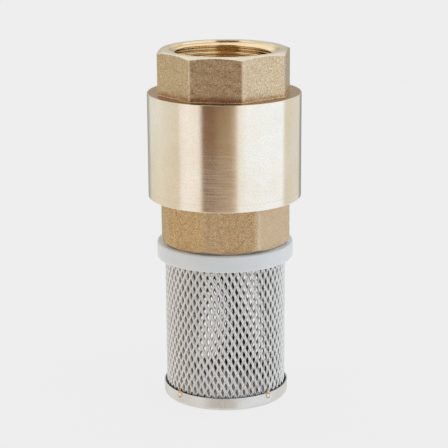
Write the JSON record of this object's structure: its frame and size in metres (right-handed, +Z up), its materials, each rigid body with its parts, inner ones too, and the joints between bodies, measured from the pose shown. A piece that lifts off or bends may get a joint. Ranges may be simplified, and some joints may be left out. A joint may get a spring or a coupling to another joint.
{
  "type": "foot valve",
  "caption": "Brass spring check valve with a threaded octagonal outlet on top and a stainless mesh strainer below, for the foot of a suction pipe.",
  "frame": {"origin": "middle of the strainer cap's underside, on which the valve stands", "axes": "+Z up along the valve's axis, from strainer to outlet, which is the way the water flows; -Y is the front"},
  "size_m": [0.048, 0.048, 0.1116],
  "materials": {
    "brass": "satin: sand-blasted forging with turned faces",
    "stainless": "satin",
    "nylon": "satin, milky",
    "nitrile": "matte",
    "acetal": "satin"
  },
  "bodies": {
    "housing": {"valve_body": "brass", "inlet_end": "brass", "body_o_ring": "nitrile", "upper_guide": "brass", "upper_guide_bush": "acetal", "spring_seat": "stainless", "closing_spring": "stainless", "lower_guide": "brass", "lower_guide_bush": "acetal", "lower_guide_clip": "stainless", "strainer_ring": "nylon", "strainer_mesh": "stainless", "strainer_cap": "stainless", "cap_weld_1": "stainless", "cap_weld_2": "stainless", "cap_weld_3": "stainless", "cap_weld_4": "stainless"},
    "poppet": {"poppet_stem": "stainless", "poppet_disc": "brass", "seat_seal": "nitrile", "seal_retainer": "brass", "stem_lock_washer": "stainless", "stem_nut": "brass"}
  },
  "joints": [
    {"name": "poppet_lift", "type": "slide", "parent": "housing", "child": "poppet", "axis": [0, 0, 1], "range_m": [0, 0.007], "stiffness_N_per_m": 340, "springref_m": -0.0038, "deforming": ["closing_spring"]}
  ]
}
